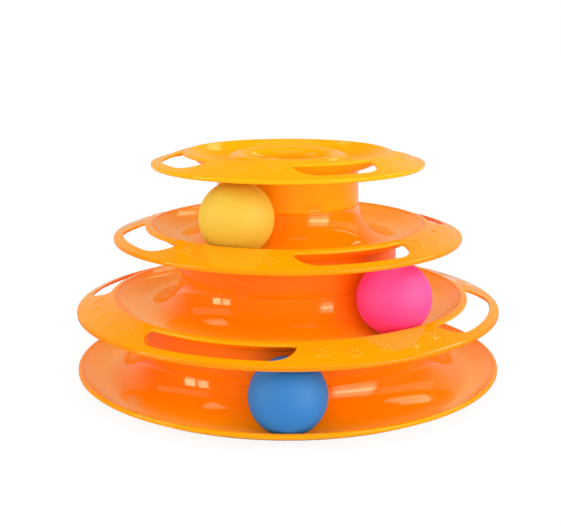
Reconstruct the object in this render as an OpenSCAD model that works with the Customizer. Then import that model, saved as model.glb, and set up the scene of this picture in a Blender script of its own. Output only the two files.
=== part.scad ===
// Ball track toy with three levels. A base dish, two slotted tiers and a top cap stand on one
// upright axis and push onto each other, and each of the three tracks between them holds a ball.
// The origin is on the axis at the level of the table, +Z is up and -Y is the front.

/* [Balls] */
// Diameter of each ball
ball_d = 40.5; // [38:0.5:42]
// Wall of the hollow balls
ball_wall = 1.2; // [0.8:0.1:2]
// Room beside a ball in its trough, on the radius
ball_play = 0.75; // [0.6:0.05:1.5]
// Gap below a ball at rest
ball_float = 0.3; // [0.2:0.05:0.5]
// Bearing of the blue ball in the base track, in degrees from +X
blue_ball_angle = 270; // [0:1:359]
// Bearing of the pink ball in the lower tier's track
pink_ball_angle = 312; // [0:1:359]
// Bearing of the yellow ball in the upper tier's track
yellow_ball_angle = 244; // [0:1:359]

/* [Tracks] */
// Radius of the base track's centre line
base_track_r = 107.5; // [100:0.5:120]
// How much smaller each track's radius is than the one below it
tier_step = 22.5; // [21:0.5:24]
// Wall of the mouldings
wall = 1.5; // [1.2:0.1:2]

/* [Base dish] */
// Gap between the table and the underside of the base's trough
ground_gap = 1; // [1:0.1:2]
// How far the base's shoulder stands below the middle of its trough's round section
base_shoulder_drop = 4; // [1:0.5:5]
// How far the base's lip lies inside the full width of its trough, on the radius
base_lip_inset = 3.5; // [2.5:0.1:4]
// How far the top of the base's lip stands above the trough's face beside it
base_lip_proud = 0.07; // [0:0.01:0.2]

/* [Tiers] */
// How far a tier's shoulder stands below the middle of its trough's round section
shoulder_drop = 1; // [0.5:0.1:2]
// How much higher a tier's floor stands above its skirt's lower edge than the trough's radius
skirt_extra = 1; // [0.5:0.1:3]
// How far a tier's lip reaches below the floor of its track
lip_drop = 0.1; // [0:0.1:1]
// Width of the slotted rim, from the full width of the trough to the lip's outer edge
rim_w = 18.3; // [17.5:0.1:21]
// Height of every lip
lip_h = 2.6; // [2.2:0.1:3.5]
// Radial thickness of every lip
lip_t = 2; // [1.6:0.1:2.2]
// Slope of the slotted rims, down and outwards, in degrees
rim_slope = 17.35; // [14:0.05:19]
// How much a skirt narrows from its lower edge to its top, on the radius
skirt_draft = 0.5; // [0:0.1:0.8]

/* [Rim slots] */
// Number of slots in each rim
slot_count = 4; // [3:1:5]
// Width of a slot, on the radius
slot_w = 12.8; // [10:0.1:13]
// Distance from the lip's outer edge to the slots
slot_inset = 5.6; // [4:0.1:6]
// Angle that a slot spans, in degrees
slot_span = 45; // [30:1:55]
// How much larger the radius of a slot's outer corners is than the slot's width
slot_corner_extra = 0.4; // [0.2:0.1:2]
// Bearing of the middle of one slot in the lower tier
lower_slot_angle = 250; // [0:1:359]
// Bearing of the middle of one slot in the upper tier and in the top cap
upper_slot_angle = 204; // [0:1:359]

/* [Push fits] */
// Height of the spigot above each shoulder
spigot_h = 12; // [8:0.5:14]
// Wall of the spigots
spigot_t = 1.6; // [1.2:0.1:2]
// Clearance between a spigot or a key and the skirt around it
fit_gap = 0.3; // [0.2:0.05:0.4]
// Height of the collar that joins a spigot to the hub around it
collar_h = 3; // [2:0.5:5]
// Number of keys on each spigot
key_count = 4; // [2:1:6]
// Width of the notch for a key
notch_w = 8.7; // [6:0.1:12]
// Height of the notch for a key
notch_h = 5.3; // [4:0.1:7]
// Height of a key's foot
key_foot_h = 1.4; // [1:0.1:2.5]
// How far a key's foot stands behind the face of the skirt
key_foot_recess = 0.1; // [0.05:0.05:0.2]
// How far the rest of a key stands behind the face of the skirt
key_recess = 0.7; // [0.3:0.1:0.9]
// Depth of a key's root below the shoulder
key_root = 0.5; // [0.3:0.1:1]
// Bearing of one key on the base
base_key_angle = 250; // [0:1:359]
// Bearing of one key on the lower tier
lower_key_angle = 247; // [0:1:359]
// Bearing of one key on the upper tier
upper_key_angle = 291; // [0:1:359]

/* [Top cap] */
// Distance from the crest of the raised ring to the centre line of the dish around it
crown_inset = 10.5; // [10:0.5:12]
// Height of the raised ring's crest above the floor of the dish
crown_rise = 7.5; // [7:0.5:9]
// Radius of the raised ring's round section
crown_tube_r = 6.5; // [6:0.1:6.9]
// Depth of the central well below the crest
well_depth = 20; // [10:0.5:24]

/* [Pads] */
// Number of pads under the base
pad_count = 4; // [3:1:8]
// Diameter of a pad
pad_d = 10; // [8:0.5:12]
// Thickness of a pad
pad_h = 1.6; // [1.4:0.1:1.8]
// How far a pad stands below its seat
pad_proud = 0.8; // [0.6:0.1:0.9]
// Distance of the pads from the base track's centre line, towards the axis
pad_inset = 3.5; // [2:0.5:5]
// Clearance round a pad in its seat
pad_gap = 0.2; // [0.1:0.05:0.3]
// Wall round a pad's seat
pad_seat_wall = 1.5; // [1:0.1:2]
// Bearing of the first pad
pad_angle = 45; // [0:1:90]

/* [Hidden] */
$fn = 120;

// Overrun of the cuts
over = 0.5;
full_turn = 360;

// Radius of a trough's round section
trough_r = ball_d / 2 + ball_play;

// Centre lines of the tracks: base, lower tier, upper tier, and the dish of the top cap
track_radii = [for (level = [0:3]) base_track_r - level * tier_step];

// Heights of the hubs above their floors, and rise from a shoulder to the floor and to the next one
base_hub_h = trough_r - base_shoulder_drop;
floor_rise = trough_r + skirt_extra;
tier_pitch = floor_rise + trough_r - shoulder_drop;

// The base's lip ends where the trough's face meets its inner edge
base_rim_reach = trough_r - base_lip_inset;
base_lip_rise = trough_r - sqrt(trough_r ^ 2 - (base_rim_reach - lip_t) ^ 2)
    + base_lip_proud - lip_h;

// Shoulders that the next piece up stands on, the floors of the tracks and the lips' lower edges
base_floor_z = ground_gap + wall;
shoulder_zs = [for (level = [0:2]) base_floor_z + base_hub_h + level * tier_pitch];
floor_zs = [base_floor_z, for (shoulder_z = shoulder_zs) shoulder_z + floor_rise];
lip_zs = [base_floor_z + base_lip_rise, for (level = [1:3]) floor_zs[level] - lip_drop];

// Distance from a track's centre line to its hub's surface, at a height above the floor
function hub_reach(height) = sqrt(trough_r ^ 2 - max(0, trough_r - height) ^ 2);

// Outer radius of the skirt that stands on a level's shoulder
seat_radii = [for (level = [0:2])
    track_radii[level] - hub_reach(shoulder_zs[level] - floor_zs[level])];
spigot_radii = [for (seat_r = seat_radii) seat_r - wall - fit_gap];

lip_radii = [base_track_r + base_rim_reach,
    for (level = [1:3]) track_radii[level] + trough_r + rim_w];

// Top of a slotted rim at a radius: a cone through the crest of the lip
function rim_z(level, r) =
    lip_zs[level] + lip_h + (lip_radii[level] - lip_t / 2 - r) * tan(rim_slope);
rim_drop = wall / cos(rim_slope);

// Top of the wall outside a track, inside the rim or the lip that it runs into
function wall_top_z(level, r) =
    level == 0 ? lip_zs[0] + lip_h - lip_t / 2 : rim_z(level, r) - rim_drop / 2;

crown_r = track_radii[3] - crown_inset;
crown_z = floor_zs[3] + crown_rise;
crown_axis_z = crown_z - crown_tube_r;
well_floor_z = crown_z - well_depth;
well_r = crown_r - crown_tube_r + wall;
crown_foot_r = crown_r + crown_tube_r;

shell_color = "orange";
pad_seat_d = pad_d + 2 * pad_gap;

// Cuts the round hollow of a level's track out of a section
module carve_track(level) {
    difference() {
        children();
        translate([track_radii[level], floor_zs[level] + trough_r]) circle(r = trough_r);
    }
}

// Wall under a level's track, kept where it lies inside the outline in children()
module track_wall(level) {
    intersection() {
        translate([track_radii[level], floor_zs[level] + trough_r]) circle(r = trough_r + wall);
        children();
    }
}

// Straight top of a hub that stands higher than the middle of its trough's section
module hub_top(level) {
    middle_z = floor_zs[level] + trough_r;
    if (shoulder_zs[level] > middle_z)
        translate([track_radii[level] - trough_r - wall, middle_z])
            square([wall, shoulder_zs[level] - middle_z]);
}

// Spigot above a level's shoulder, on a collar inside the hub
module spigot_section(level) {
    inner_r = spigot_radii[level] - spigot_t;
    translate([inner_r, shoulder_zs[level] - collar_h]) {
        square([spigot_t, collar_h + spigot_h]);
        square([seat_radii[level] - wall / 2 - inner_r, collar_h]);
    }
}

// Lip of a level, with a round top and bottom
module lip_section(level) {
    translate([lip_radii[level] - lip_t / 2, lip_zs[level]]) {
        translate([0, lip_t / 2]) circle(d = lip_t);
        translate([0, lip_h - lip_t / 2]) circle(d = lip_t);
        translate([-lip_t / 2, lip_t / 2]) square([lip_t, lip_h - lip_t]);
    }
}

// Sloping rim from the crest of the trough into the lip
module rim_section(level) {
    inner_r = track_radii[level] + trough_r / 2;
    outer_r = lip_radii[level] - lip_t / 3;
    polygon([
        [inner_r, rim_z(level, inner_r)],
        [outer_r, rim_z(level, outer_r)],
        [outer_r, rim_z(level, outer_r) - rim_drop],
        [inner_r, rim_z(level, inner_r) - rim_drop]
    ]);
}

// Skirt of a level, standing on the shoulder of the level below
module skirt_section(level) {
    seat_r = seat_radii[level - 1];
    seam_z = shoulder_zs[level - 1];
    polygon([
        [seat_r - wall, seam_z],
        [seat_r, seam_z],
        [seat_r - skirt_draft, floor_zs[level] + wall],
        [seat_r - wall, floor_zs[level] + wall]
    ]);
}

// Outline that keeps a level's wall, from inner_r and inner_top_z on its inner side to the rim
module wall_outline(level, inner_r, inner_top_z) {
    track_r = track_radii[level];
    outer_r = track_r + trough_r + wall;
    bottom_z = floor_zs[level] - wall - over;
    polygon([
        [inner_r, bottom_z],
        [outer_r, bottom_z],
        [outer_r, wall_top_z(level, outer_r)],
        [track_r, wall_top_z(level, track_r)],
        [track_r, inner_top_z],
        [inner_r, inner_top_z]
    ]);
}

// Plan of one slot on +X: a ring segment whose outer corners are round
module slot_plan(outer_r) {
    inner_r = outer_r - slot_w;
    end_angle = slot_span / 2 - asin(slot_w / inner_r);
    intersection() {
        difference() {
            circle(r = outer_r);
            circle(r = inner_r);
        }
        union() {
            polygon([
                [0, 0],
                [2 * outer_r, -2 * outer_r * tan(end_angle)],
                [2 * outer_r, 2 * outer_r * tan(end_angle)]
            ]);
            for (side = [-1, 1])
                rotate(side * end_angle)
                    translate([inner_r, 0]) circle(r = slot_w + slot_corner_extra);
        }
    }
}

module slots(level, angle) {
    for (i = [0:slot_count - 1])
        rotate(angle + i * full_turn / slot_count)
            translate([0, 0, lip_zs[level] - over])
                linear_extrude(rim_z(level, track_radii[level]) - lip_zs[level])
                    slot_plan(lip_radii[level] - slot_inset);
}

// Notches in the skirt of a level, open at its lower edge
module notches(level, angle) {
    seat_r = seat_radii[level - 1];
    for (i = [0:key_count - 1])
        rotate(angle + i * full_turn / key_count)
            translate([seat_r - 2 * wall, -notch_w / 2, shoulder_zs[level - 1] - over])
                cube([3 * wall, notch_w, notch_h + over]);
}

// Keys on the spigot of a level, each with a foot below a face that is set back
module keys(level, angle) {
    key_w = notch_w - 2 * fit_gap;
    for (i = [0:key_count - 1])
        rotate(angle + i * full_turn / key_count)
            translate([0, 0, shoulder_zs[level] - key_root]) {
                key_block(level, seat_radii[level] - key_foot_recess, key_w, key_root + key_foot_h);
                key_block(level, seat_radii[level] - key_recess, key_w, key_root + notch_h - fit_gap);
            }
}

// Block of width key_w with a round face of radius face_r, down to the middle of the spigot's wall
module key_block(level, face_r, key_w, height) {
    root_r = spigot_radii[level] - spigot_t / 2;
    linear_extrude(height)
        intersection() {
            difference() {
                circle(r = face_r);
                circle(r = root_r);
            }
            translate([0, -key_w / 2]) square([2 * face_r, key_w]);
        }
}

// Section of a level that has a hub: its track, hub and spigot, and what else is in children()
module hub_level_section(level) {
    carve_track(level) {
        track_wall(level)
            wall_outline(level, track_radii[level] - trough_r - wall, shoulder_zs[level]);
        lip_section(level);
        children();
    }
    hub_top(level);
    spigot_section(level);
}

// Upright cylinders at the places of the pads, from bottom_z to top_z
module pad_places(bottom_z, diameter, top_z) {
    for (i = [0:pad_count - 1])
        rotate(pad_angle + i * full_turn / pad_count)
            translate([base_track_r - pad_inset, 0, bottom_z])
                cylinder(d = diameter, h = top_z - bottom_z);
}

// Round seats for the pads, up to the middle of the wall under the base track
module pad_seats() {
    difference() {
        pad_places(pad_proud, pad_seat_d + 2 * pad_seat_wall, base_floor_z + base_hub_h / 2);
        rotate_extrude()
            translate([base_track_r, base_floor_z + trough_r]) circle(r = trough_r + wall / 2);
        pad_places(0, pad_seat_d, pad_h);
    }
}

module base_tray() {
    color(shell_color) {
        difference() {
            rotate_extrude() hub_level_section(0);
            pad_places(0, pad_seat_d, pad_h);
        }
        pad_seats();
        keys(0, base_key_angle);
    }
}

// A tier: its section turned round the axis, with its slots, notches and keys
module tier(level, slot_angle, notch_angle, key_angle) {
    color(shell_color) {
        difference() {
            rotate_extrude()
                hub_level_section(level) {
                    skirt_section(level);
                    rim_section(level);
                }
            slots(level, slot_angle);
            notches(level, notch_angle);
        }
        keys(level, key_angle);
    }
}

module lower_tier() {
    tier(1, lower_slot_angle, base_key_angle, lower_key_angle);
}

module upper_tier() {
    tier(2, upper_slot_angle, lower_key_angle, upper_key_angle);
}

// Raised ring of the cap with the well inside it
module crown_section() {
    intersection() {
        translate([crown_r, crown_axis_z])
            difference() {
                circle(r = crown_tube_r);
                circle(r = crown_tube_r - wall);
            }
        translate([crown_r - crown_tube_r, crown_axis_z]) square(2 * crown_tube_r);
    }
    foot_z = floor_zs[3] - wall / 2;
    translate([crown_foot_r - wall, foot_z]) square([wall, crown_axis_z - foot_z]);
    translate([well_r - wall, well_floor_z - wall])
        square([wall, crown_axis_z - well_floor_z + wall]);
    translate([0, well_floor_z - wall]) square([well_r, wall]);
}

module cap_section() {
    carve_track(3) {
        track_wall(3) wall_outline(3, crown_foot_r - wall, crown_axis_z);
        skirt_section(3);
        rim_section(3);
        lip_section(3);
    }
}

module top_cap() {
    color(shell_color)
        difference() {
            union() {
                rotate_extrude() cap_section();
                rotate_extrude() crown_section();
            }
            slots(3, upper_slot_angle);
            notches(3, upper_key_angle);
        }
}

// Hollow ball at rest in a level's track
module track_ball(level, angle) {
    rotate(angle)
        translate([track_radii[level], 0, floor_zs[level] + ball_float + ball_d / 2])
            difference() {
                sphere(d = ball_d);
                sphere(d = ball_d - 2 * ball_wall);
            }
}

module blue_ball() {
    color("steelblue") track_ball(0, blue_ball_angle);
}

module pink_ball() {
    color("hotpink") track_ball(1, pink_ball_angle);
}

module yellow_ball() {
    color("gold") track_ball(2, yellow_ball_angle);
}

module anti_slip_pads() {
    color("dimgray") pad_places(0, pad_d, pad_h);
}

base_tray();
lower_tier();
upper_tier();
top_cap();
blue_ball();
pink_ball();
yellow_ball();
anti_slip_pads();
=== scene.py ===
import math

import bmesh
import bpy
import numpy as np
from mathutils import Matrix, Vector


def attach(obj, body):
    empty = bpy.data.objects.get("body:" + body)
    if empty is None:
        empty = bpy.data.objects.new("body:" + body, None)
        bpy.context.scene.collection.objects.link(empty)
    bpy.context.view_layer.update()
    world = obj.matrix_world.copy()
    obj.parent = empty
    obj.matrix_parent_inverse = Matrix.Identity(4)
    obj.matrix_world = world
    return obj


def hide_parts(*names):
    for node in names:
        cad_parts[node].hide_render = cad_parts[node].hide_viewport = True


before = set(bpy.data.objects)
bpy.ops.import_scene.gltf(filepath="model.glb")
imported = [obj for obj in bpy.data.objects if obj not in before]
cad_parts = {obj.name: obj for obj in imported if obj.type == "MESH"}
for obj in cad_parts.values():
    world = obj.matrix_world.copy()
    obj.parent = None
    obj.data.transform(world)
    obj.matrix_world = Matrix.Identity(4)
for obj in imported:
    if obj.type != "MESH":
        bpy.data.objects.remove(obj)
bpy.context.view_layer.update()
scene = bpy.context.scene

# Sizes of the part's source, in millimetres and degrees. Lists go up from the base to the top cap
BALL_R = 20.25
BALL_PLAY = 0.75
BALL_FLOAT = 0.3
BALL_ANGLES = [270.0, 312.0, 244.0]
BASE_TRACK_R = 107.5
TIER_STEP = 22.5
WALL = 1.5
BASE_FLOOR_Z = 2.5
BASE_LIP_Z = 6.8
BASE_LIP_INSET = 3.5
BASE_SHOULDER_DROP = 4.0
SHOULDER_DROP = 1.0
SKIRT_EXTRA = 1.0
LIP_DROP = 0.1
RIM_W = 18.3
LIP_H = 2.6
LIP_T = 2.0
RIM_SLOPE = 17.35
SKIRT_DRAFT = 0.5
SLOT_W = 12.8
SLOT_INSET = 5.6
SLOT_SPAN = 45.0
SLOT_ANGLES = [None, 250.0, 204.0, 204.0]
SPIGOT_H = 12.0
SPIGOT_T = 1.6
FIT_GAP = 0.3
COLLAR_H = 3.0
NOTCH_W = 8.7
NOTCH_H = 5.3
KEY_FOOT_H = 1.4
KEY_FOOT_RECESS = 0.1
KEY_ANGLES = [250.0, 247.0, 291.0]
CROWN_INSET = 10.5
CROWN_RISE = 7.5
CROWN_TUBE_R = 6.5
WELL_DEPTH = 20.0
PAD_D = 10.0
PAD_H = 1.6
PAD_PROUD = 0.8
PAD_INSET = 3.5
PAD_GAP = 0.2
PAD_SEAT_WALL = 1.5
PAD_ANGLE = 45.0

# Sizes that differ from the source's: the keys fill their notches more closely, and the crest of the
# cap's ring is lower and further out, for the softer look of the photo
KEY_RECESS = 0.18
KEY_GAP = 0.07
CROWN_SHOW_Z = 132.4
CROWN_SHOW_R = 31.0

# Sizes worked out from those of the source
TROUGH_R = BALL_R + BALL_PLAY
OUTER_R = TROUGH_R + WALL
TIER_PITCH = TROUGH_R + SKIRT_EXTRA + TROUGH_R - SHOULDER_DROP
TRACK_RADII = [BASE_TRACK_R - level * TIER_STEP for level in range(4)]
SHOULDER_ZS = [BASE_FLOOR_Z + TROUGH_R - BASE_SHOULDER_DROP + level * TIER_PITCH for level in range(3)]
FLOOR_ZS = [BASE_FLOOR_Z] + [z + TROUGH_R + SKIRT_EXTRA for z in SHOULDER_ZS]
TROUGH_ZS = [z + TROUGH_R for z in FLOOR_ZS]
LIP_ZS = [BASE_LIP_Z] + [z - LIP_DROP for z in FLOOR_ZS[1:]]
LIP_RADII = [BASE_TRACK_R + TROUGH_R - BASE_LIP_INSET] + [r + TROUGH_R + RIM_W for r in TRACK_RADII[1:]]
SLOPE = math.radians(RIM_SLOPE)
RIM_DROP = WALL / math.cos(SLOPE)
CROWN_R = TRACK_RADII[3] - CROWN_INSET
CROWN_Z = FLOOR_ZS[3] + CROWN_RISE

# Metres in a millimetre, the least distance that counts, and the bearing between two like places
MM = 0.001
TINY = 1e-5
QUARTER = 90

# Steps of the turned meshes and of the runs of their sections
TURN_STEPS = 192
TURN_STEP = 360.0 / TURN_STEPS
BASE_STEPS = 64
TIER_STEPS = 60
DISH_STEPS = 34
WALL_STEPS = 24
COLLAR_STEPS = 28
FOOT_STEPS = 4
SKIRT_STEPS = 4

# How far a line may move to a needed bearing, in parts of a step, how often a crossing's range is
# halved, and the angle from which an edge is sharp
MOVE_SHARE = 0.45
HALVINGS = 60
SHARP_ANGLE = 38.0

# How corners are rounded: the reach along both sides in millimetres, and the steps
FINE_EDGE = (0.3, 3)
SOFT_EDGE = (0.4, 3)
SLOT_CORNER = (2.4, 8)
BASE_CREST = (1.2, 6)
TIER_CREST = (1.2, 7)
UNDER_CREST = (0.7, 4)
SKIRT_JOIN = (1.5, 5)
SKIRT_INNER_EDGE = (0.3, 2)
WELL_CORNER = (2.0, 6)
CROWN_FOOT = (3.2, 9)
PAD_EDGE = (0.45, 4)


def quarters(angle):
    """Four bearings, a quarter turn apart."""
    return [angle + QUARTER * k for k in range(4)]


def full_turn(sides):
    """Angles in radians of a full turn in even steps."""
    return np.linspace(0, 2 * math.pi, sides + 1)[:-1]


def polar(r, bearing):
    """Place in plan at a radius and a bearing in degrees."""
    angle = math.radians(bearing)
    return r * math.cos(angle), r * math.sin(angle)


def apart(first, second):
    """Degrees between two bearings, the short way round."""
    return abs((first - second + 180) % 360 - 180)


def seat_radius(level):
    """Outer radius of the shoulder of a level, which the next skirt stands on."""
    height = SHOULDER_ZS[level] - FLOOR_ZS[level]
    return TRACK_RADII[level] - math.sqrt(TROUGH_R ** 2 - (TROUGH_R - height) ** 2)


def spigot_radius(level):
    """Outer radius of the spigot on a level's hub."""
    return seat_radius(level) - WALL - FIT_GAP


def rim_z(level, r):
    """Top of a slotted rim at a radius."""
    return LIP_ZS[level] + LIP_H + (LIP_RADII[level] - LIP_T / 2 - r) * math.tan(SLOPE)


def trough_z(level, r, radius):
    """Height at which the lower half of a circle round a trough's middle is at radius r."""
    return TROUGH_ZS[level] - math.sqrt(max(0.0, radius ** 2 - (r - TRACK_RADII[level]) ** 2))


def outer_angle(level, r, radius):
    """Angle in a trough's section at which such a circle is at radius r."""
    return 360 - math.degrees(math.acos((r - TRACK_RADII[level]) / radius))


def hub_angle(level, drop, radius):
    """Angle in a trough's section at which such a circle is a drop below the level's shoulder."""
    return 180 + math.degrees(math.asin((TROUGH_ZS[level] - SHOULDER_ZS[level] + drop) / radius))


def crossing(level, radius, drop):
    """Radius at which a circle round a trough's middle runs into the rim's slope, less a drop."""
    low, high = TRACK_RADII[level], TRACK_RADII[level] + radius
    for _ in range(HALVINGS):
        middle = (low + high) / 2
        if trough_z(level, middle, radius) < rim_z(level, middle) - drop:
            low = middle
        else:
            high = middle
    return (low + high) / 2


def arc(centre_r, centre_z, radius, start, end, steps):
    """Points of a circle in a section, from one angle in degrees to another."""
    angles = np.radians(np.linspace(start, end, steps + 1))
    return [(centre_r + radius * math.cos(a), centre_z + radius * math.sin(a)) for a in angles]


def trough_arc(level, radius, start, end, steps):
    """Points of a circle round a trough's middle, from one angle in degrees to another."""
    return arc(TRACK_RADII[level], TROUGH_ZS[level], radius, start, end, steps)


def ladder(start, end, steps):
    """Evenly spaced points of a straight line in a section, with both ends."""
    return [(start[0] + (end[0] - start[0]) * t, start[1] + (end[1] - start[1]) * t)
            for t in np.linspace(0, 1, steps + 1)]


def path_index(path, point):
    """Index of the path's point nearest to a place in the section."""
    return min(range(len(path)), key=lambda k: math.dist(path[k], point))


def soften(path, *corners):
    """Rounds the points of a path that are nearest to the corners, each with its reach and steps."""
    for corner, (reach, steps) in corners:
        path = soften_one(path, corner, reach, steps)
    return path


def soften_one(path, corner, reach, steps):
    """Rounds the point of a path that is nearest to corner, over reach along both sides."""
    points = [Vector(p) for p in path]
    index = path_index(path, corner)

    def walk(direction):
        here, left = index, reach
        while True:
            step = points[here + direction] - points[here]
            if step.length >= left:
                return here + direction, points[here] + step * (left / step.length)
            left -= step.length
            here += direction

    before, start = walk(-1)
    after, end = walk(1)
    middle = points[index]
    blend = [start * (1 - t) ** 2 + middle * 2 * t * (1 - t) + end * t ** 2
             for t in np.linspace(0, 1, steps + 1)]
    rounded = points[:before + 1] + blend + points[after:]
    kept = [rounded[0]]
    for point in rounded[1:]:
        if (point - kept[-1]).length > TINY:
            kept.append(point)
    return [(p.x, p.y) for p in kept]


def link(name, data):
    """New object of the scene, with its mesh, light or camera."""
    made = bpy.data.objects.new(name, data)
    scene.collection.objects.link(made)
    return made


class Shell:
    """Collects the points and faces of one mesh, in millimetres."""

    def __init__(self):
        self.points = []
        self.faces = []
        self.slots = []

    def add(self, points):
        start = len(self.points)
        self.points.extend([tuple(p) for p in points])
        return list(range(start, len(self.points)))

    def face(self, corners, slot=0):
        loop = [c for k, c in enumerate(corners) if c != corners[k - 1]]
        if len(loop) > 2:
            self.faces.append(loop)
            self.slots.append(slot)

    def band(self, first, second, slot=0):
        """Faces between two closed rows of points."""
        for i in range(len(first)):
            j = (i + 1) % len(first)
            self.face([first[i], first[j], second[j], second[i]], slot)

    def bands(self, rows, slot=0):
        """Faces between each row and the next."""
        for first, second in zip(rows, rows[1:]):
            self.band(first, second, slot)

    def build(self, name, materials, shades=None):
        """Makes the mesh, with a value per point for each shade, and its object."""
        mesh = bpy.data.meshes.new(name)
        mesh.from_pydata([Vector(p) * MM for p in self.points], [], self.faces)
        for title, value in (shades or {}).items():
            shade = mesh.attributes.new(title, "FLOAT", "POINT")
            shade.data.foreach_set("value", [value(math.hypot(x, y), z) for x, y, z in self.points])
        mesh.polygons.foreach_set("material_index", self.slots)
        work = bmesh.new()
        work.from_mesh(mesh)
        bmesh.ops.recalc_face_normals(work, faces=work.faces)
        work.to_mesh(mesh)
        work.free()
        for material in materials:
            mesh.materials.append(material)
        mesh.shade_smooth()
        mesh.set_sharp_from_angle(angle=math.radians(SHARP_ANGLE))
        mesh.update()
        return link(name, mesh)


# Slots: the steps of their plan, and the mesh lines from their middle to each side
SLOT_ARC_STEPS = 60
SLOT_END_STEPS = 24
SLOT_HALF_STEPS = 13
SLOT_HALF = SLOT_HALF_STEPS * TURN_STEP

# Slots: the room inwards and outwards to the frame of mesh lines, on the rim's top and its underside,
# the steps of that frame, the rings between it and the slot, and the slot's round edge
TOP_ROOM = (1.9, 3.4)
UNDER_ROOM = (1.7, 2.6)
RIM_STEPS = 10
PATCH_RINGS = 5
EDGE_R = 0.5
EDGE_STEPS = 4


def turn_angles(bearings, needed):
    """Bearings of the lines of a turned mesh: even steps, with the needed ones taken in.

    The lines at the ends of the slots, whose bearings come first, stay where they are.
    """
    start = bearings[0] if bearings else 0.0
    quarter = TURN_STEPS // 4
    lines = [(start + k * TURN_STEP) % 360 for k in range(TURN_STEPS)]
    fixed = {k for k in range(TURN_STEPS)
             if bearings and k % quarter in (SLOT_HALF_STEPS, quarter - SLOT_HALF_STEPS)}
    for angle in needed:
        k = round(((angle - start) % 360) / TURN_STEP) % TURN_STEPS
        off = apart(lines[k], angle)
        if off < MOVE_SHARE * TURN_STEP and k not in fixed:
            lines[k] = angle % 360
            fixed.add(k)
        elif off > TINY:
            lines.append(angle % 360)
    shifted = sorted((a - start) % 360 for a in lines)
    return [(start + a) % 360 for a in shifted]


def lines_across(angles, bearing, half):
    """Indices of the lines from half degrees before a bearing to half degrees after it."""
    first, last = (min(range(len(angles)), key=lambda k: apart(angles[k], bearing + side * half))
                   for side in (-1, 1))
    count = (last - first) % len(angles)
    return [(first + k) % len(angles) for k in range(count + 1)]


def turned_grid(shell, path, angles):
    """Points of a path turned round the axis: grid[i][j] for line i and path point j."""
    grid = []
    poles = {}
    for angle in angles:
        c, s = polar(1, angle)
        row = []
        for j, (r, z) in enumerate(path):
            if abs(r) < TINY:
                if j not in poles:
                    poles[j] = shell.add([(0, 0, z)])[0]
                row.append(poles[j])
            else:
                row.extend(shell.add([(r * c, r * s, z)]))
        grid.append(row)
    return grid


def plan_outline(level):
    """Plan of a slot on +X: a closed path from its inner middle, its inner corner and its outer one."""
    outer_r = LIP_RADII[level] - SLOT_INSET
    inner_r = outer_r - SLOT_W
    span = SLOT_SPAN / 2
    half = SLOT_ARC_STEPS // 2
    end_angle = span - math.degrees(math.asin(SLOT_W / inner_r))
    inner = arc(0, 0, inner_r, -span, span, SLOT_ARC_STEPS)
    centre = polar(inner_r, end_angle)
    # The end turns from the inner arc's corner to the outer arc, round the centre
    first = math.degrees(math.atan2(inner[-1][1] - centre[1], inner[-1][0] - centre[0]))
    end = arc(centre[0], centre[1], SLOT_W, first, end_angle, SLOT_END_STEPS)
    outer = arc(0, 0, outer_r, end_angle, -end_angle, SLOT_ARC_STEPS)
    other_end = [(x, -y) for x, y in reversed(end)]
    path = inner[half:] + end[1:] + outer[1:] + other_end[1:] + inner[1:half + 1]
    return soften(path, (inner[-1], SLOT_CORNER), (inner[0], SLOT_CORNER)), inner[-1], outer[0]


def resample(points, count):
    """count + 1 evenly spaced points along an open path."""
    points = np.array(points)
    steps = np.linalg.norm(np.diff(points, axis=0), axis=1)
    along = np.concatenate([[0], np.cumsum(steps)])
    wanted = np.linspace(0, along[-1], count + 1)
    return np.column_stack([np.interp(wanted, along, points[:, k]) for k in (0, 1)])


def slot_loop(level, turn_count, side_count):
    """Points round a slot on +X, matched to the frame of mesh lines round it."""
    path, (in_x, in_y), (out_x, out_y) = plan_outline(level)
    path = np.array(path)
    corners = [(in_x, -in_y), (in_x, in_y), (out_x, out_y), (out_x, -out_y)]
    marks = [int(np.argmin(np.linalg.norm(path - np.array(corner), axis=1))) for corner in corners]
    runs = []
    for k, count in enumerate((turn_count, side_count, turn_count, side_count)):
        a, b = marks[k], marks[(k + 1) % 4]
        run = path[a:b + 1] if b > a else np.vstack([path[a:-1], path[:b + 1]])
        runs.append(resample(run, count)[:-1])
    return np.vstack(runs)


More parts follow.
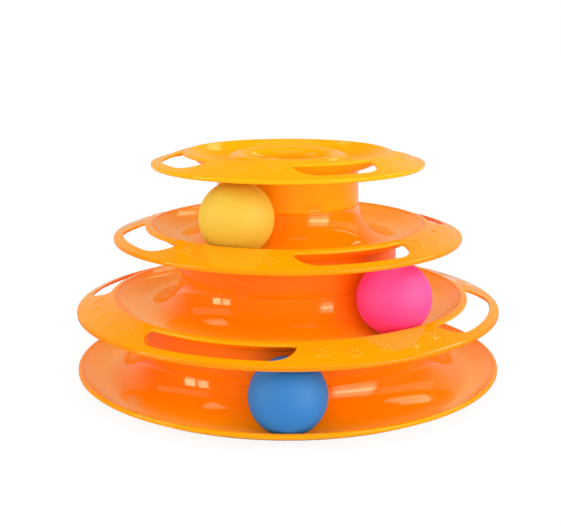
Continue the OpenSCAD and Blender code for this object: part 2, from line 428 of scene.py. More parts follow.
def cut_slot(shell, grid, lines, level, bearing, top_marks, under_marks):
    """Fills the gap in the grid round one slot with rings that follow the slot's round outline."""

    def frame_ring(inner_j, outer_j):
        step = 1 if outer_j > inner_j else -1
        across = list(range(inner_j, outer_j + step, step))
        ring = [grid[i][inner_j] for i in lines[:-1]]
        ring += [grid[lines[-1]][j] for j in across[:-1]]
        ring += [grid[i][outer_j] for i in reversed(lines[1:])]
        ring += [grid[lines[0]][j] for j in reversed(across[1:])]
        return ring, len(across) - 1

    top_ring, side_count = frame_ring(*top_marks)
    under_ring, _ = frame_ring(*under_marks)
    loop = slot_loop(level, len(lines) - 1, side_count)
    tangent = np.roll(loop, -1, axis=0) - np.roll(loop, 1, axis=0)
    tangent /= np.linalg.norm(tangent, axis=1)[:, None]
    away = np.column_stack([-tangent[:, 1], tangent[:, 0]])
    c, s = polar(1, bearing)

    def ring_at(plan, drop):
        return shell.add([(x * c - y * s, x * s + y * c, rim_z(level, math.hypot(x, y)) - drop)
                          for x, y in plan])

    def patch(ring, drop, steps):
        """Rings from the mesh lines round the slot towards its edge, closer together there."""
        made = np.array([shell.points[k] for k in ring])[:, :2]
        wide = np.column_stack([made[:, 0] * c + made[:, 1] * s, -made[:, 0] * s + made[:, 1] * c])
        shares = [k / PATCH_RINGS * (2 - k / PATCH_RINGS) for k in steps]
        return [ring_at(wide * (1 - t) + (loop + away * EDGE_R) * t, drop) for t in shares]

    edge = [(EDGE_R * (1 - math.sin(a)), EDGE_R * (1 - math.cos(a)))
            for a in np.radians(np.linspace(0, 90, EDGE_STEPS + 1))]
    rings = [top_ring] + patch(top_ring, 0, range(1, PATCH_RINGS))
    rings += [ring_at(loop + away * reach, drop) for reach, drop in edge]
    rings += [ring_at(loop + away * reach, RIM_DROP - drop) for reach, drop in reversed(edge)]
    rings += patch(under_ring, RIM_DROP, range(PATCH_RINGS - 1, 0, -1)) + [under_ring]
    shell.bands(rings)


def add_turned(shell, path, closed, level=0, marks=None):
    """Turns a section round the axis, leaving out and filling in its slots and notches."""
    slots = quarters(SLOT_ANGLES[level]) if marks else []
    notches = quarters(KEY_ANGLES[level - 1]) if marks else []
    half = math.degrees(math.asin(NOTCH_W / 2 / seat_radius(level - 1))) if marks else 0
    angles = turn_angles(slots, [a + side * half for a in notches for side in (-1, 1)])
    grid = turned_grid(shell, path, angles)
    at = {name: path_index(path, place) for name, place in (marks or {}).items()}
    slot_lines = [lines_across(angles, bearing, SLOT_HALF) for bearing in slots]
    left_out = set()
    for lines in slot_lines:
        for line in lines[:-1]:
            left_out.update((line, k) for k in range(at["top_in"], at["top_out"]))
            left_out.update((line, k) for k in range(at["under_out"], at["under_in"]))
    for bearing in notches:
        lines = lines_across(angles, bearing, half)
        edge = range(at["notch_out"], at["notch_in"] + 1)
        for line, after in zip(lines, lines[1:]):
            left_out.update((line, k) for k in edge[:-1])
            shell.face([grid[line][edge[0]], grid[after][edge[0]], grid[after][edge[-1]],
                        grid[line][edge[-1]]])
        for line in (lines[0], lines[-1]):
            shell.face([grid[line][k] for k in edge])
    last = len(path) if closed else len(path) - 1
    for i, row in enumerate(grid):
        after = grid[(i + 1) % len(grid)]
        for k in range(last):
            if (i, k) not in left_out:
                upper = (k + 1) % len(path)
                shell.face([row[k], row[upper], after[upper], after[k]])
    for lines, bearing in zip(slot_lines, slots):
        cut_slot(shell, grid, lines, level, bearing, (at["top_in"], at["top_out"]),
                 (at["under_in"], at["under_out"]))


# Lips: how far out from the base lip's inner side its trough ends, and how far in its underside does;
# then the angles and steps of a lip's top and of its foot, and how far its top is lowered
LIP_MEET_OUT = 0.35
LIP_MEET_IN = 0.2
BASE_LIP = ((140, 10), (-115, 8), 0.0)
TIER_LIP = ((90 - RIM_SLOPE, 5), (-180, 10), 0.03)

# Skirt and well: how far below the trough the skirt is straight, how far above its floor the well's
# wall is, how far below the ring's axis that wall ends, and how far in the well's underside is even
SKIRT_ROOM = 2.5
WELL_ROOM = 3.0
CROWN_DROP = 2.5
UNDER_WELL_INSET = 2.0

# Steps of the top cap's well and ring
WELL_STEPS = 10
WELL_WALL_STEPS = 4
UNDER_WELL_STEPS = 6
CROWN_IN_STEPS = 21
CROWN_OUT_STEPS = 19
CROWN_UNDER_STEPS = 9


def hub_points(level):
    """Top of a hub: the spigot from its inner side to its outer one, and the shoulder round it."""
    shoulder, outside = SHOULDER_ZS[level], spigot_radius(level)
    inside = outside - SPIGOT_T
    return [(inside, shoulder + SPIGOT_H / 2), (inside, shoulder + SPIGOT_H),
            (outside, shoulder + SPIGOT_H), (outside, shoulder), (seat_radius(level), shoulder)]


def soften_hub(path, hub):
    """Rounds the spigot's top edges and the shoulder's edge."""
    return soften(path, (hub[1], SOFT_EDGE), (hub[2], SOFT_EDGE), (hub[-1], FINE_EDGE))


def lip_points(level, top, foot, sink):
    """Round lip of a level, from the angle of its top to that of its foot."""
    centre, lip_z, radius = LIP_RADII[level] - LIP_T / 2, LIP_ZS[level], LIP_T / 2
    points = arc(centre, lip_z + LIP_H - radius - sink, radius, top[0], 0, top[1])
    return points + arc(centre, lip_z + radius, radius, 0, *foot)


def base_path():
    """Section of the base dish, as a closed path."""
    inner = LIP_RADII[0] - LIP_T
    hub = hub_points(0)
    # The trough's inner face runs up to the lip's round top
    trough = trough_arc(0, TROUGH_R, hub_angle(0, 0, TROUGH_R),
                        outer_angle(0, inner + LIP_MEET_OUT, TROUGH_R), BASE_STEPS)
    path = hub + trough[1:] + lip_points(0, *BASE_LIP)
    path += trough_arc(0, OUTER_R, outer_angle(0, inner - LIP_MEET_IN, OUTER_R),
                       hub_angle(0, COLLAR_H, OUTER_R), BASE_STEPS)
    path += [(hub[0][0], SHOULDER_ZS[0] - COLLAR_H)]
    return soften(soften_hub(path, hub), (trough[-1], BASE_CREST))


def rim_points(level):
    """Points of a rim's top from the trough's crest outwards, and of its underside from the lip in."""
    slot_out = LIP_RADII[level] - SLOT_INSET
    slot_in = slot_out - SLOT_W

    def at(r, drop):
        return r, rim_z(level, r) - drop

    top = [at(crossing(level, TROUGH_R, 0), 0)]
    top += ladder(at(slot_in - TOP_ROOM[0], 0), at(slot_out + TOP_ROOM[1], 0), RIM_STEPS)
    under = ladder(at(slot_out + UNDER_ROOM[1], RIM_DROP), at(slot_in - UNDER_ROOM[0], RIM_DROP),
                   RIM_STEPS)
    under += [at(crossing(level, OUTER_R, RIM_DROP), RIM_DROP)]
    return top, [at(LIP_RADII[level] - LIP_T, RIM_DROP)], under


def skirt_points(level):
    """Skirt below a level, from the trough's underside outside it to the underside inside it."""
    seat, seam = seat_radius(level - 1), SHOULDER_ZS[level - 1]
    full = FLOOR_ZS[level] + WALL - seam

    def outer(z):
        return seat - SKIRT_DRAFT * (z - seam) / full, z

    inner = seat - WALL
    out_r = outer(FLOOR_ZS[level] - WALL)[0]
    out_z = trough_z(level, out_r, OUTER_R)
    in_z = trough_z(level, inner, OUTER_R)
    notch_z = seam + NOTCH_H
    points = [(out_r, out_z)]
    points += ladder(outer(out_z - SKIRT_ROOM), outer(notch_z), SKIRT_STEPS)
    points += [outer(seam), (inner, seam)]
    points += ladder((inner, notch_z), (inner, in_z - SKIRT_ROOM), SKIRT_STEPS)
    points += [(inner, in_z)]
    marks = {"notch_out": outer(notch_z), "notch_in": (inner, notch_z), "join_out": (out_r, out_z),
             "edge_out": outer(seam), "edge_in": (inner, seam)}
    return points, marks


def outer_points(level):
    """Section from a trough's crest over its rim and back to its skirt, with the places on it."""
    top, lip_foot, under = rim_points(level)
    skirt, marks = skirt_points(level)
    wall = trough_arc(level, OUTER_R, outer_angle(level, under[-1][0], OUTER_R),
                      outer_angle(level, skirt[0][0], OUTER_R), WALL_STEPS)
    marks.update(crest=top[0], top_in=top[1], top_out=top[-1], under_out=under[0], under_in=under[-2],
                 under_crest=under[-1])
    return top + lip_points(level, *TIER_LIP) + lip_foot + under + wall[1:-1] + skirt, marks


def soften_outer(path, marks):
    """Rounds the crests of the rim and the edges of the skirt."""
    return soften(path, (marks["crest"], TIER_CREST), (marks["under_crest"], UNDER_CREST),
                  (marks["join_out"], SKIRT_JOIN), (marks["edge_out"], FINE_EDGE),
                  (marks["edge_in"], SKIRT_INNER_EDGE))


def tier_path(level):
    """Section of a tier, as a closed path, with the places that its slots and notches need."""
    hub = hub_points(level)
    outer, marks = outer_points(level)
    path = hub + trough_arc(level, TROUGH_R, hub_angle(level, 0, TROUGH_R),
                            outer_angle(level, marks["crest"][0], TROUGH_R), TIER_STEPS)[1:-1]
    path += outer
    path += trough_arc(level, OUTER_R, outer_angle(level, outer[-1][0], OUTER_R),
                       hub_angle(level, COLLAR_H, OUTER_R), COLLAR_STEPS)[1:]
    path += [(hub[0][0], SHOULDER_ZS[level] - COLLAR_H)]
    return soften_outer(soften_hub(path, hub), marks), marks


def crown_quarter(foot_r, foot_z, inset, steps):
    """Quarter of the ring's round top, after its foot up to the crest, inset by a wall's thickness."""
    rise, reach = CROWN_SHOW_Z - inset - foot_z, CROWN_SHOW_R - foot_r
    return [(foot_r + reach * (1 - math.cos(a)), foot_z + rise * math.sin(a))
            for a in np.linspace(0, math.pi / 2, steps)][1:]


def cap_path():
    """Section of the top cap, as a path from the axis to the axis."""
    axis_z = CROWN_Z - CROWN_TUBE_R
    drop_z = axis_z - CROWN_DROP
    well_in, foot = CROWN_R - CROWN_TUBE_R, CROWN_R + CROWN_TUBE_R
    well_out, foot_in = well_in + WALL, foot - WALL
    well_z = CROWN_Z - WELL_DEPTH
    dish_z = trough_z(3, foot, TROUGH_R)
    outer, marks = outer_points(3)
    path = ladder((0, well_z), (well_in, well_z), WELL_STEPS)
    path += ladder((well_in, well_z + WELL_ROOM), (well_in, drop_z), WELL_WALL_STEPS)
    path += crown_quarter(well_in, drop_z, 0.0, CROWN_IN_STEPS)
    path += reversed(crown_quarter(foot, axis_z, 0.0, CROWN_OUT_STEPS)[:-1])
    path += [(foot, dish_z)]
    path += trough_arc(3, TROUGH_R, outer_angle(3, foot, TROUGH_R),
                       outer_angle(3, marks["crest"][0], TROUGH_R), DISH_STEPS)[1:-1]
    path += outer
    path += trough_arc(3, OUTER_R, outer_angle(3, outer[-1][0], OUTER_R),
                       outer_angle(3, foot_in, OUTER_R), FOOT_STEPS)[1:]
    path += [(foot_in, axis_z)]
    path += crown_quarter(foot_in, axis_z, WALL, CROWN_UNDER_STEPS)
    path += reversed(crown_quarter(well_out, drop_z, WALL, CROWN_UNDER_STEPS)[:-1])
    path += [(well_out, drop_z), (well_out, well_z - WALL)]
    path += ladder((well_out - UNDER_WELL_INSET, well_z - WALL), (0, well_z - WALL), UNDER_WELL_STEPS)
    path = soften(path, ((well_in, well_z), WELL_CORNER), ((foot, dish_z), CROWN_FOOT))
    return soften_outer(path, marks), marks


# Keys: how far they start below the shoulder, the lines above their foot and below their top that keep
# their faces flat for the shading, and the rows across them
KEY_SINK = 0.2
KEY_LOW_LINE = 0.8
KEY_TOP_LINE = 0.9
KEY_ROWS = 9


def add_keys(shell, level):
    """Keys that stand in the notches of the next skirt."""
    seat, shoulder = seat_radius(level), SHOULDER_ZS[level]
    root = spigot_radius(level) - SPIGOT_T / 2
    foot, face = seat - KEY_FOOT_RECESS, seat - KEY_RECESS
    low, step, top = shoulder - KEY_SINK, shoulder + KEY_FOOT_H, shoulder + NOTCH_H - KEY_GAP
    section = [(root, low), (foot, low), (foot, step), (face, step), (face, step + KEY_LOW_LINE),
               (face, top - KEY_TOP_LINE), (face, top), (root, top)]
    section = soften(section, ((foot, step), FINE_EDGE), ((face, top), SOFT_EDGE))
    half_w = NOTCH_W / 2 - KEY_GAP
    for bearing in quarters(KEY_ANGLES[level]):
        rows = []
        for t in np.linspace(-1, 1, KEY_ROWS):
            turns = [math.radians(bearing) + math.asin(half_w * t / r) for r, _ in section]
            rows.append(shell.add([(r * math.cos(turn), r * math.sin(turn), z)
                                   for turn, (r, z) in zip(turns, section)]))
        shell.bands(rows)
        shell.face(rows[0])
        shell.face(rows[-1])


# One generic paw print: the place, half sizes and tilt of four toes and a pad, the depth of the pad's
# three lobes, the height, and a dome's section in parts of its reach and height
TOES = [(-3.5, 0.5, 1.05, 1.45, 24), (-1.3, 2.5, 1.1, 1.6, 8), (1.3, 2.5, 1.1, 1.6, -8),
        (3.5, 0.5, 1.05, 1.45, -24)]
PAD_SHAPE = (0.0, -1.8, 2.7, 2.1, 0)
PAD_LOBES = 0.13
PRINT_H = 0.33
DOME = [(1.0, -0.12), (0.97, 0.0), (0.88, 0.16), (0.74, 0.42), (0.55, 0.7), (0.3, 0.92)]
DOME_SIDES = 24
PRINT_SLOT = 1

# Rows of prints: how far in from each level's lip, the step from one to the next, how far they stand
# off the row to either side, and how they are turned, with a part that changes sides
PRINT_INSETS = [None, 10.6, 11.6, 13.2]
PRINT_SPACING = 16.6
PRINT_STAGGER = 1.1
PRINT_TURN = -28
PRINT_SWING = 14


def add_dome(shell, level, bearing, ring_r, turn, shape, lobes):
    """Low dome of a paw print, lying on the slope of a rim."""
    x0, y0, half_x, half_y, tilt = shape
    turn, tilt = math.radians(turn), math.radians(tilt)

    def place(x, y, h):
        r = ring_r - (x * math.sin(turn) + y * math.cos(turn))
        a = math.radians(bearing) + (x * math.cos(turn) - y * math.sin(turn)) / ring_r
        z = rim_z(level, r) + h * PRINT_H * math.cos(SLOPE)
        r += h * PRINT_H * math.sin(SLOPE)
        return r * math.cos(a), r * math.sin(a), z

    rows = []
    for reach, h in DOME:
        row = []
        for a in full_turn(DOME_SIDES):
            lobe = 1 + lobes * math.cos(3 * (a + math.pi / 2))
            ex, ey = half_x * reach * lobe * math.cos(a), half_y * reach * lobe * math.sin(a)
            row.append(place(x0 + ex * math.cos(tilt) - ey * math.sin(tilt),
                             y0 + ex * math.sin(tilt) + ey * math.cos(tilt), h))
        rows.append(shell.add(row))
    shell.bands(rows, PRINT_SLOT)
    shell.face(rows[0], PRINT_SLOT)
    shell.band(rows[-1], shell.add([place(x0, y0, 1.0)]) * DOME_SIDES, PRINT_SLOT)


def add_prints(shell, level, count):
    """A row of paw prints on each stretch of rim between two slots."""
    middle_r = LIP_RADII[level] - PRINT_INSETS[level]
    spacing = math.degrees(PRINT_SPACING / middle_r)
    for centre in quarters(SLOT_ANGLES[level] + QUARTER / 2):
        for i in range(count):
            side = 1 if i % 2 else -1
            where = (centre + (i - (count - 1) / 2) * spacing, middle_r + PRINT_STAGGER * side,
                     PRINT_TURN + PRINT_SWING * side)
            for toe in TOES:
                add_dome(shell, level, *where, toe, 0.0)
            add_dome(shell, level, *where, PAD_SHAPE, PAD_LOBES)


# Pads and their seats: places, sides, the height in the wall at which the seats end, and the dished
# face of a pad, in parts of its radius and in millimetres
PAD_CENTRES = [polar(TRACK_RADII[0] - PAD_INSET, bearing) for bearing in quarters(PAD_ANGLE)]
PAD_SIDES = 48
PAD_SEAT_Z = 3.4
PAD_DISH = [(0, 0.12), (0.55, 0.1), (0.8, 0.0), (1.0, 0.0)]


def add_pad_seats(shell):
    """Round seats under the base's trough, one over each pad."""
    inner = PAD_D / 2 + PAD_GAP
    outer = inner + PAD_SEAT_WALL
    section = [(inner, PAD_H), (inner, PAD_PROUD), (outer, PAD_PROUD), (outer, PAD_SEAT_Z)]
    section = soften(section, ((outer, PAD_PROUD), FINE_EDGE))

    def place(x, y, z):
        return x, y, min(z, trough_z(0, math.hypot(x, y), TROUGH_R + WALL / 2))

    for cx, cy in PAD_CENTRES:
        rows = [shell.add([place(cx + r * math.cos(a), cy + r * math.sin(a), z)
                           for a in full_turn(PAD_SIDES)]) for r, z in section]
        shell.bands(rows)
        shell.face(rows[0])
        shell.face(rows[-1])


def add_pads(shell):
    """Round rubber pads with soft edges and a shallow dished face."""
    half = PAD_D / 2
    section = [(half * share, z) for share, z in PAD_DISH] + [(half, PAD_H), (0, PAD_H)]
    section = soften(section, ((half, 0.0), PAD_EDGE))
    for cx, cy in PAD_CENTRES:
        rows = []
        for r, z in section:
            if r == 0:
                rows.append(shell.add([(cx, cy, z)]) * PAD_SIDES)
            else:
                rows.append(shell.add([(cx + r * math.cos(a), cy + r * math.sin(a), z)
                                       for a in full_turn(PAD_SIDES)]))
        shell.bands(rows)


# Balls: steps from pole to pole and round, the pole, so that the seam's circle faces the front, and
# the seam's half width in degrees and depth in millimetres
BALL_STEPS = 96
BALL_SIDES = 128
BALL_POLE = (0.0, -0.97, 0.24)
SEAM_W = 0.9
SEAM_DEPTH = 0.05


def add_ball(shell, level):
    """Ball of two welded halves, with a fine seam round it."""
    centre = Vector((*polar(TRACK_RADII[level], BALL_ANGLES[level]),
                     FLOOR_ZS[level] + BALL_FLOAT + BALL_R))
    pole = Vector(BALL_POLE).normalized()
    side = pole.orthogonal().normalized()
    up = pole.cross(side)
    spokes = [side * math.cos(turn) + up * math.sin(turn) for turn in full_turn(BALL_SIDES)]
    rows = []
    for polar_angle in np.linspace(0, 180, BALL_STEPS + 1):
        a = math.radians(polar_angle)
        radius = BALL_R - math.exp(-((polar_angle - 90) / SEAM_W) ** 2) * SEAM_DEPTH
        if polar_angle in (0.0, 180.0):
            rows.append(shell.add([centre + pole * radius * math.cos(a)]) * BALL_SIDES)
        else:
            rows.append(shell.add([centre + (pole * math.cos(a) + spoke * math.sin(a)) * radius
                                   for spoke in spokes]))
    shell.bands(rows)


class NodeTree:
    """Node tree of a material or of the world, which starts with its output node alone."""

    def __init__(self, owner, output):
        owner.use_nodes = True
        self.tree = owner.node_tree
        self.tree.nodes.clear()
        self.output = self.add(output)

    def add(self, kind, inputs=None, **values):
        """New node with its plain properties, and its inputs set to a value or linked to an output."""
        made = self.tree.nodes.new("ShaderNode" + kind)
        for name, value in values.items():
            setattr(made, name, value)
        for key, value in (inputs or {}).items():
            if isinstance(value, bpy.types.NodeSocket):
                self.tree.links.new(value, made.inputs[key])
            else:
                made.inputs[key].default_value = value
        return made

    def maths(self, operation, *terms, **values):
        """Output of a sum with values or outputs."""
        return self.add("Math", dict(enumerate(terms)), operation=operation, **values).outputs[0]

    def ramp(self, value, spans, kind="SMOOTHSTEP"):
        """Output that goes over the second span while value goes over the first."""
        (low, high), (start, end) = spans
        inputs = {"Value": value, "From Min": low, "From Max": high, "To Min": start, "To Max": end}
        return self.add("MapRange", inputs, interpolation_type=kind).outputs["Result"]

    def mix_colours(self, share, first, second):
        """Output that goes from the first colour to the second with a share."""
        return self.add("Mix", {0: share, 6: first, 7: second}, data_type="RGBA").outputs[2]

    def mix_shaders(self, share, first, second):
        """Output that goes from the first shader to the second with a share."""
        return self.add("MixShader", {0: share, 1: first, 2: second}).outputs[0]

    def show(self, surface):
        """Links a shader to the output node."""
        self.tree.links.new(surface, self.output.inputs["Surface"])


# What the plastics share: the scale and detail of the colour variation and the detail of the grain, how
# far they change the share of painted light and shade and the roughness, the ripple's height, the gloss,
# and the colour of the painted light through thin walls. The height and the scatter radii are in metres
DRIFT_SCALE = 22.0
DRIFT_DETAIL = 2.0
GRAIN_DETAIL = 4.0
TINT_DRIFT = 0.12
ROUGH_DRIFT = 0.15
RIPPLE_H = 0.0002
PLASTIC_IOR = 1.49
COAT_ROUGHNESS = 0.04
PAINTED_THROUGH_LIGHT = (1.0, 0.52, 0.08, 1)
WHITE = (1, 1, 1, 1)


def plastic(name, base, deep, rough, coat=0.0, specular=0.5, scatter=0.0, scatter_radius=(0, 0, 0),
            grain=300.0, ripple=0.03, light_painted=False):
    """Moulded plastic: soft colour variation, uneven gloss and a very fine surface ripple.

    A light-painted one goes from deep to base with the mesh's painted light and shade, which is 1 at the
    thin lit rims and lower where painted shade falls, and is paler where the mesh's glow says so:
    painted light that comes through a thin wall.
    """
    material = bpy.data.materials.new(name)
    tree = NodeTree(material, "OutputMaterial")
    place = tree.add("TexCoord").outputs["Object"]
    wide = tree.add("TexNoise", {"Vector": place, "Scale": DRIFT_SCALE, "Detail": DRIFT_DETAIL})
    fine = tree.add("TexNoise", {"Vector": place, "Scale": grain, "Detail": GRAIN_DETAIL})
    share = wide.outputs["Fac"]
    # Painted light and shade: the colour is base on the lit rims and deeper where painted shade falls
    if light_painted:
        painted_light = tree.add("Attribute", attribute_name="painted_light").outputs["Fac"]
        share = tree.maths("MULTIPLY_ADD", share, TINT_DRIFT, painted_light, use_clamp=True)
    colour = tree.mix_colours(share, (*deep, 1), (*base, 1))
    # Painted light through thin walls makes them paler
    if light_painted:
        glow = tree.add("Attribute", attribute_name="glow").outputs["Fac"]
        colour = tree.mix_colours(glow, colour, PAINTED_THROUGH_LIGHT)
    gloss = ((0.0, 1.0), (rough * (1 - ROUGH_DRIFT), rough * (1 + ROUGH_DRIFT)))
    bump = tree.add("Bump", {"Strength": ripple, "Distance": RIPPLE_H, "Height": fine.outputs["Fac"]})
    shader = tree.add("BsdfPrincipled", {
        "Base Color": colour, "Roughness": tree.ramp(fine.outputs["Fac"], gloss, "LINEAR"),
        "Normal": bump.outputs["Normal"], "IOR": PLASTIC_IOR, "Specular IOR Level": specular,
        "Coat Weight": coat, "Coat Roughness": COAT_ROUGHNESS, "Subsurface Weight": scatter,
        "Subsurface Radius": scatter_radius, "Subsurface Scale": 1.0})
    tree.show(shader.outputs["BSDF"])
    return material


def smooth(low, high, value):
    """Smooth step from 0 at low to 1 at high."""
    t = min(1.0, max(0.0, (value - low) / (high - low)))
    return t * t * (3 - 2 * t)


# Radii of the troughs' crests, and how a place is told to be under a rim or on a key: past the crest by
# a margin and below a share of the rim's thickness, or a margin off the shoulder and the spigot
BASE_CREST_INSET = 1.5
CREST_RADII = [LIP_RADII[0] - BASE_CREST_INSET] + [crossing(level, TROUGH_R, 0) for level in (1, 2)]
CREST_MARGIN = 0.4
UNDER_SHARE = 0.97
KEY_MARGIN = 0.1

# How the painted light and shade changes, in millimetres: the share of painted shade at each level's lip
# and over what width, the start and end below a floor for the painted shade on the skirts, below the
# ring's crest for that in the well, and above the floor for the cap
LIP_PAINTED_SHADES = [0.15, 0.85, 0.85]
LIP_FADE = 1.0
SKIRT_FADE = (5, 1)
CROWN_FADE = (5, 0.5)
CAP_FADE = (-14, 0.5)

# Where the painted light through thin walls starts on each level and is full, in parts of the trough's
# radius from its middle, and the width over which it ends at the crest, in millimetres
GLOW_STARTS = [-0.35, -0.5, -0.5]
GLOW_END = 0.2
CREST_FADE = 1.5


def is_under(level, r, z):
    """Whether a place is on the underside of a tier's trough or rim."""
    if r > CREST_RADII[level] + CREST_MARGIN:
        return r < LIP_RADII[level] - LIP_T and z < rim_z(level, r) - RIM_DROP * UNDER_SHARE
    from_middle = math.hypot(r - TRACK_RADII[level], z - TROUGH_ZS[level])
    return r > TRACK_RADII[level] - TROUGH_R and from_middle > TROUGH_R + WALL / 2


def track_painted_light(level, start, end, skirt, hub, key):
    """Painted light and shade of a level: its skirt's value, then its hub's, and 1 at its lit rim, with
    painted shade at its lip and below.

    It changes over the trough, from start to end in parts of the trough's radius from its middle.
    """
    track, floor, spigot_r = TRACK_RADII[level], FLOOR_ZS[level], spigot_radius(level)

    def painted_light(r, z):
        # Keys take their own value of painted light and shade
        if z > SHOULDER_ZS[level] + KEY_MARGIN and spigot_r + KEY_MARGIN < r < track:
            return key
        # Painted shade on the undersides of the trough and rim
        if level > 0 and is_under(level, r, z):
            return 0.0
        # Painted shade deep on the hub, rising to 1 on the lit rim, with painted shade at the lip and
        # low on the skirt
        out = smooth(track + start * TROUGH_R, track + end * TROUGH_R, r)
        edge = smooth(LIP_RADII[level] - LIP_FADE, LIP_RADII[level], r)
        above = hub + (1 - hub) * out * (1 - LIP_PAINTED_SHADES[level] * edge)
        return skirt + (above - skirt) * smooth(floor - SKIRT_FADE[0], floor - SKIRT_FADE[1], z)

    return painted_light


def track_glow(level):
    """Share of the paler colour, painted light through the thin outer wall of a level's trough."""
    track, top = TRACK_RADII[level], CREST_RADII[level]
    start, end = track + GLOW_STARTS[level] * TROUGH_R, track + GLOW_END * TROUGH_R

    def glow(r, z):
        if level > 0 and is_under(level, r, z):
            return 0.0
        return smooth(start, end, r) * (1 - smooth(top - CREST_FADE, top, r))

    return glow


def cap_painted_light(r, z):
    """Painted light and shade of the top cap: 0, painted shade, low on its skirt and in its well, 1 from
    its dish upwards.
    """
    if r < CROWN_SHOW_R:
        return smooth(CROWN_SHOW_Z - CROWN_FADE[0], CROWN_SHOW_Z - CROWN_FADE[1], z)
    return smooth(FLOOR_ZS[3] + CAP_FADE[0], FLOOR_ZS[3] + CAP_FADE[1], z)


# Materials
# The shells go from deep to base with painted light and shade, and are paler with painted light through
# thin walls where the mesh has it
orange = plastic("orange_shell", base=(1.0, 0.31, 0.001), deep=(1.0, 0.17, 0.0), rough=0.07, coat=0.1,
                 light_painted=True)
orange_print = plastic("orange_print", base=(1.0, 0.32, 0.002), deep=(1.0, 0.305, 0.001), rough=0.1,
                       coat=0.1)
amber = plastic("amber_shell", base=(1.0, 0.365, 0.002), deep=(1.0, 0.32, 0.0), rough=0.1,
                specular=0.35, light_painted=True)
amber_print = plastic("amber_print", base=(1.0, 0.375, 0.004), deep=(1.0, 0.36, 0.003), rough=0.12,
                      specular=0.3)
blue = plastic("blue_plastic", base=(0.008, 0.163, 0.45), deep=(0.006, 0.15, 0.415), rough=0.6,
               scatter=0.1, scatter_radius=(0.001, 0.001, 0.002), grain=900.0, ripple=0.5)
pink = plastic("pink_plastic", base=(0.97, 0.046, 0.245), deep=(0.95, 0.041, 0.23), rough=0.6,
               scatter=0.8, scatter_radius=(0.014, 0.009, 0.01), grain=900.0, ripple=0.3)
yellow = plastic("yellow_plastic", base=(0.66, 0.42, 0.02), deep=(0.635, 0.4, 0.018), rough=0.6,
                 scatter=0.8, scatter_radius=(0.016, 0.015, 0.008), grain=900.0, ripple=0.2)
rubber = plastic("pad_rubber", base=(0.03, 0.03, 0.03), deep=(0.02, 0.02, 0.02), rough=0.75,
                 grain=700.0, ripple=0.4)

# Base dish
shell = Shell()
add_turned(shell, base_path(), closed=True)
add_keys(shell, 0)
add_pad_seats(shell)
# Painted shade deep on the base's hub, skirt and keys, and painted light through its thin wall
base_painted_light = track_painted_light(0, start=-0.9, end=-0.15, skirt=0.0, hub=0.06, key=0.0)
base_piece = shell.build("base_dish", [orange, orange_print],
                         shades={"painted_light": base_painted_light, "glow": track_glow(0)})
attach(base_piece, "base")
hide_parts("base_tray")

# Lower and upper tier
# Each tier's painted light and shade, with the values for its skirt, hub and keys, and painted light
# through its thin wall
for tier_level, tier_name, print_count, tier_painted_light in (
        (1, "lower_tier", 5, track_painted_light(1, start=-0.85, end=-0.2, skirt=0.08, hub=0.12, key=0.0)),
        (2, "upper_tier", 4, track_painted_light(2, start=-0.85, end=-0.2, skirt=0.3, hub=0.33, key=0.75))):
    shell = Shell()
    tier_section, tier_marks = tier_path(tier_level)
    add_turned(shell, tier_section, closed=True, level=tier_level, marks=tier_marks)
    add_keys(shell, tier_level)
    add_prints(shell, tier_level, print_count)
    tier_piece = shell.build(tier_name + "_shell", [orange, orange_print],
                             shades={"painted_light": tier_painted_light, "glow": track_glow(tier_level)})
    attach(tier_piece, tier_name)
    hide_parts(tier_name)

# Top cap
CAP_PRINTS = 3
shell = Shell()
cap_section, cap_marks = cap_path()
add_turned(shell, cap_section, closed=False, level=3, marks=cap_marks)
add_prints(shell, 3, CAP_PRINTS)
# Painted light and shade on the cap: painted shade in its well and low on its skirt
cap_piece = shell.build("cap_shell", [amber, amber_print], shades={"painted_light": cap_painted_light})
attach(cap_piece, "top_cap")
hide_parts("top_cap")

# Balls
for ball_level, ball_name, ball_finish in ((0, "blue", blue), (1, "pink", pink), (2, "yellow", yellow)):
    shell = Shell()
    add_ball(shell, ball_level)
    ball = shell.build(ball_name + "_play_ball", [ball_finish])
    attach(ball, ball_name + "_ball")
    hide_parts(ball_name + "_ball")

# Pads
shell = Shell()
add_pads(shell)
pads = shell.build("rubber_pads", [rubber])
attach(pads, "base")
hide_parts("anti_slip_pads")

# Floor that keeps the shadow, looks white to the camera and is dim in reflections of its front half:
# its reach, the span of Y with the strengths that reflections show, and how much of it shines
FLOOR_REACH = 4
FLOOR_MIRRORED = ((-0.05, 0.7), (0.02, 0.65))
FLOOR_SHINE = 0.9

floor_mesh = bpy.data.meshes.new("floor")
corners = [(x * FLOOR_REACH, y * FLOOR_REACH, 0) for x, y in ((-1, -1), (1, -1), (1, 1), (-1, 1))]
floor_mesh.from_pydata(corners, [], [(0, 1, 2, 3)])
floor = link("floor", floor_mesh)
floor_look = bpy.data.materials.new("floor_white")
tree = NodeTree(floor_look, "OutputMaterial")
rays = tree.add("LightPath").outputs
place = tree.add("SeparateXYZ", {0: tree.add("TexCoord").outputs["Object"]}).outputs
mirrored = tree.ramp(place["Y"], FLOOR_MIRRORED)
power = tree.add("Mix", {0: rays["Is Camera Ray"], 2: mirrored, 3: 1.0}, data_type="FLOAT").outputs[0]
matte = tree.add("BsdfDiffuse", {"Color": WHITE}).outputs[0]
shine = tree.add("Emission", {"Color": WHITE, "Strength": power}).outputs[0]
seen = tree.maths("MAXIMUM", rays["Is Camera Ray"], rays["Is Glossy Ray"])
seen = tree.maths("MAXIMUM", seen, rays["Is Transmission Ray"])
tree.show(tree.mix_shaders(tree.maths("MULTIPLY", seen, FLOOR_SHINE), matte, shine))
floor_mesh.materials.append(floor_look)

